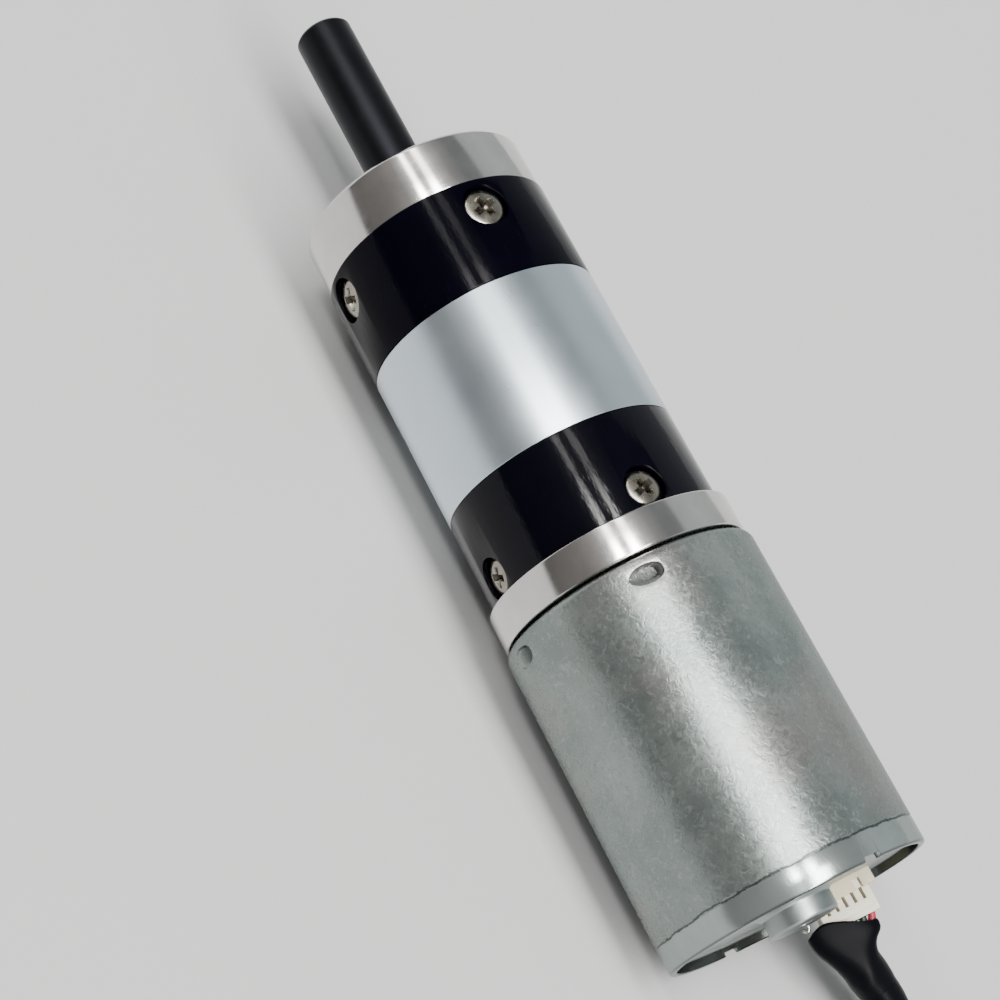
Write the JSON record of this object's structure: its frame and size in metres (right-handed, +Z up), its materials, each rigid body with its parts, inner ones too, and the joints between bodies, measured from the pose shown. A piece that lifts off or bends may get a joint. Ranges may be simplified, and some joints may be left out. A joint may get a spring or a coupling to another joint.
{
  "type": "planetary gearmotor",
  "caption": "Slim cylindrical planetary gearbox with a plain round output shaft, screwed in line to a brushless can motor with a sleeved plug-in lead.",
  "frame": {"origin": "centre of the gearbox's front mounting face, on the shaft's axis", "axes": "+X out along the output shaft, +Z up from the surface that the motor lies on, +Y to the left seen along +X"},
  "size_m": [0.2607, 0.0398, 0.035],
  "materials": {
    "black_oxide_steel": "black oxide, satin",
    "turned_aluminium": "turned, polished",
    "black_anodised": "black anodised, glossy",
    "satin_aluminium": "clear anodised, satin",
    "nickel_screw": "nickel plated",
    "galvanised_steel": "galvanised, mottled",
    "gear_steel": "machined",
    "bearing_steel": "ground",
    "bronze_washer": "plain",
    "stator_lamination": "laminated",
    "enamelled_copper": "enamelled copper",
    "sintered_magnet": "sintered",
    "circuit_board": "solder mask",
    "header_nylon": "moulded",
    "plug_nylon": "moulded",
    "black_sleeve": "shrunk vinyl",
    "tie_black": "plain"
  },
  "bodies": {
    "housing": {"front_cap": "turned_aluminium", "motor_plate": "turned_aluminium", "front_sleeve": "black_anodised", "rear_sleeve": "black_anodised", "ring_gear": "satin_aluminium", "front_screw_1": "nickel_screw", "front_screw_2": "nickel_screw", "front_screw_3": "nickel_screw", "front_screw_4": "nickel_screw", "rear_screw_1": "nickel_screw", "rear_screw_2": "nickel_screw", "rear_screw_3": "nickel_screw", "rear_screw_4": "nickel_screw", "motor_screw_1": "nickel_screw", "motor_screw_2": "nickel_screw", "solder_pin": "nickel_screw", "output_front_bearing_outer": "bearing_steel", "output_rear_bearing_outer": "bearing_steel", "motor_front_bearing_outer": "bearing_steel", "motor_rear_bearing_outer": "bearing_steel", "thrust_washer_3": "bronze_washer", "thrust_washer_2": "bronze_washer", "motor_can": "galvanised_steel", "motor_bracket": "galvanised_steel", "motor_end_cap": "galvanised_steel", "stator_core": "stator_lamination", "stator_winding": "enamelled_copper", "circuit_board": "circuit_board", "lead_header": "header_nylon", "lead_plug": "plug_nylon", "end_connector": "plug_nylon", "lead_boot": "black_sleeve", "cable": "black_sleeve", "cable_hank": "black_sleeve", "cable_tail": "black_sleeve", "end_wires": "black_sleeve", "cable_tie": "tie_black"},
    "output": {"output_shaft": "black_oxide_steel", "output_circlip": "black_oxide_steel", "output_carrier": "gear_steel", "output_front_bearing_inner": "bearing_steel", "output_rear_bearing_inner": "bearing_steel"},
    "second_carrier": {"carrier_2": "gear_steel"},
    "first_carrier": {"carrier_1": "gear_steel"},
    "rotor": {"rotor_shaft": "gear_steel", "rotor_core": "stator_lamination", "rotor_magnet": "sintered_magnet", "motor_pinion": "gear_steel", "motor_front_bearing_inner": "bearing_steel", "motor_rear_bearing_inner": "bearing_steel"},
    "planet_3a": {"planet_3a": "gear_steel"},
    "planet_3b": {"planet_3b": "gear_steel"},
    "planet_3c": {"planet_3c": "gear_steel"},
    "planet_2a": {"planet_2a": "gear_steel"},
    "planet_2b": {"planet_2b": "gear_steel"},
    "planet_2c": {"planet_2c": "gear_steel"},
    "planet_1a": {"planet_1a": "gear_steel"},
    "planet_1b": {"planet_1b": "gear_steel"},
    "planet_1c": {"planet_1c": "gear_steel"}
  },
  "joints": [
    {"name": "rotor_spin", "type": "hinge", "parent": "housing", "child": "rotor", "pos_m": [-0.084, 0, 0], "axis": [1, 0, 0], "continuous": true},
    {"name": "first_carrier_spin", "type": "hinge", "parent": "housing", "child": "first_carrier", "pos_m": [-0.038, 0, 0], "axis": [1, 0, 0], "continuous": true},
    {"name": "second_carrier_spin", "type": "hinge", "parent": "housing", "child": "second_carrier", "pos_m": [-0.029, 0, 0], "axis": [1, 0, 0], "continuous": true},
    {"name": "output_spin", "type": "hinge", "parent": "housing", "child": "output", "pos_m": [0, 0, 0], "axis": [1, 0, 0], "continuous": true},
    {"name": "planet_1a_spin", "type": "hinge", "parent": "first_carrier", "child": "planet_1a", "pos_m": [-0.0423, 0, 0.0084], "axis": [1, 0, 0], "continuous": true},
    {"name": "planet_1b_spin", "type": "hinge", "parent": "first_carrier", "child": "planet_1b", "pos_m": [-0.0423, 0.00727, -0.0042], "axis": [1, 0, 0], "continuous": true},
    {"name": "planet_1c_spin", "type": "hinge", "parent": "first_carrier", "child": "planet_1c", "pos_m": [-0.0423, -0.00727, -0.0042], "axis": [1, 0, 0], "continuous": true},
    {"name": "planet_2a_spin", "type": "hinge", "parent": "second_carrier", "child": "planet_2a", "pos_m": [-0.0329, 0.00727, 0.0042], "axis": [1, 0, 0], "continuous": true},
    {"name": "planet_2b_spin", "type": "hinge", "parent": "second_carrier", "child": "planet_2b", "pos_m": [-0.0329, 0, -0.0084], "axis": [1, 0, 0], "continuous": true},
    {"name": "planet_2c_spin", "type": "hinge", "parent": "second_carrier", "child": "planet_2c", "pos_m": [-0.0329, -0.00727, 0.0042], "axis": [1, 0, 0], "continuous": true},
    {"name": "planet_3a_spin", "type": "hinge", "parent": "output", "child": "planet_3a", "pos_m": [-0.0232, 0, 0.0084], "axis": [1, 0, 0], "continuous": true},
    {"name": "planet_3b_spin", "type": "hinge", "parent": "output", "child": "planet_3b", "pos_m": [-0.0232, 0.00727, -0.0042], "axis": [1, 0, 0], "continuous": true},
    {"name": "planet_3c_spin", "type": "hinge", "parent": "output", "child": "planet_3c", "pos_m": [-0.0232, -0.00727, -0.0042], "axis": [1, 0, 0], "continuous": true}
  ],
  "couplings": [
    {"joint": "first_carrier_spin", "follows": "rotor_spin", "ratio": 0.25},
    {"joint": "second_carrier_spin", "follows": "rotor_spin", "ratio": 0.0625},
    {"joint": "output_spin", "follows": "rotor_spin", "ratio": 0.015625},
    {"joint": "planet_1a_spin", "follows": "rotor_spin", "ratio": -0.75},
    {"joint": "planet_1b_spin", "follows": "rotor_spin", "ratio": -0.75},
    {"joint": "planet_1c_spin", "follows": "rotor_spin", "ratio": -0.75},
    {"joint": "planet_2a_spin", "follows": "rotor_spin", "ratio": -0.1875},
    {"joint": "planet_2b_spin", "follows": "rotor_spin", "ratio": -0.1875},
    {"joint": "planet_2c_spin", "follows": "rotor_spin", "ratio": -0.1875},
    {"joint": "planet_3a_spin", "follows": "rotor_spin", "ratio": -0.046875},
    {"joint": "planet_3b_spin", "follows": "rotor_spin", "ratio": -0.046875},
    {"joint": "planet_3c_spin", "follows": "rotor_spin", "ratio": -0.046875}
  ]
}
